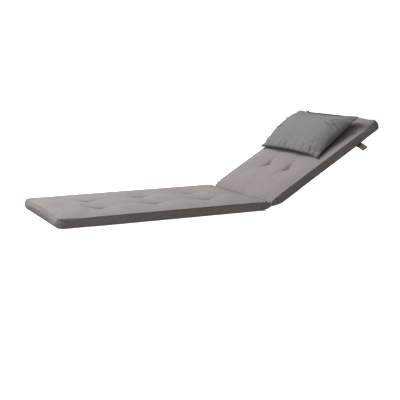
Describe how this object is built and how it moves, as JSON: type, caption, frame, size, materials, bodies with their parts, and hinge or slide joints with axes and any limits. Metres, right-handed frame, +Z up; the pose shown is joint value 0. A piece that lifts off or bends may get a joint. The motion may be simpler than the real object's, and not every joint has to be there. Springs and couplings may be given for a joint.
{
  "type": "sun lounger cushion set",
  "caption": "Folding tufted lounger mattress in two boxed sections joined by a sewn fold, with fastening tabs and a zipped head pillow that lifts off.",
  "frame": {"origin": "centre of the seat section's flat underside", "axes": "+X along the length towards the head end, +Y across to the far side, +Z up; the near side is -Y"},
  "size_m": [1.8289, 0.7436, 0.4633],
  "materials": {
    "cover_top": "woven, matt",
    "cover_band": "woven, matt",
    "foam": "open-cell foam",
    "fibre_fill": "hollow fibre",
    "thread": "sewing thread",
    "webbing": "woven tape",
    "hook_tape": "moulded hooks",
    "loop_tape": "brushed loops",
    "label_cloth": "satin",
    "zip_tape": "woven tape",
    "zip_coil": "polyester coil",
    "zip_metal": "satin enamel"
  },
  "bodies": {
    "seat_section": {"seat_foam_core": "foam", "seat_top_panel": "cover_top", "seat_side_band": "cover_band", "seat_bottom_panel": "cover_band", "seat_tuft_ties": "thread", "fold_web": "cover_band"},
    "back_section": {"back_foam_core": "foam", "back_top_panel": "cover_top", "back_side_band": "cover_band", "back_bottom_panel": "cover_band", "back_tuft_ties": "thread", "back_hook_strip": "hook_tape"},
    "strap_near": {"strap_near_tab": "webbing", "strap_near_hook_patch": "hook_tape"},
    "strap_far": {"strap_far_tab": "webbing", "strap_far_hook_patch": "hook_tape"},
    "care_label": {"care_label": "label_cloth"},
    "pillow": {"pillow_fill": "fibre_fill", "pillow_front_panel": "cover_top", "pillow_back_panel": "cover_top", "pillow_loop_strip": "loop_tape", "pillow_zip_tape": "zip_tape", "pillow_zip_coil": "zip_coil", "pillow_zip_stops": "zip_metal"},
    "zip_slider": {"zip_slider": "zip_metal"},
    "zip_pull": {"zip_pull": "zip_metal"}
  },
  "joints": [
    {"name": "back_recline", "type": "hinge", "parent": "seat_section", "child": "back_section", "pos_m": [0.563, 0, 0.05], "axis": [0, -1, 0], "range_deg": [-30.45, 126], "deforming": ["fold_web"]},
    {"name": "strap_near_swing", "type": "hinge", "parent": "back_section", "child": "strap_near", "pos_m": [1.08905, -0.3265, 0.30357], "axis": [-0.8621, 0, -0.5068], "range_deg": [-66, 100]},
    {"name": "strap_far_swing", "type": "hinge", "parent": "back_section", "child": "strap_far", "pos_m": [1.08905, 0.3265, 0.30357], "axis": [0.8621, 0, 0.5068], "range_deg": [-66, 100]},
    {"name": "care_label_flap", "type": "hinge", "parent": "seat_section", "child": "care_label", "pos_m": [0.519, -0.3259, 0.00105], "axis": [-1, 0, 0], "range_deg": [0, 80]},
    {"name": "pillow_lift", "type": "slide", "parent": "back_section", "child": "pillow", "axis": [-0.5068, 0, 0.8621], "range_m": [0, 0.06]},
    {"name": "zip_travel", "type": "slide", "parent": "pillow", "child": "zip_slider", "axis": [0, 1, 0], "range_m": [-0.3968, 0]},
    {"name": "zip_pull_swing", "type": "hinge", "parent": "zip_slider", "child": "zip_pull", "pos_m": [1.14259, 0.2206, 0.45852], "axis": [0.6108, 0, -0.7918], "range_deg": [0, 180]}
  ]
}
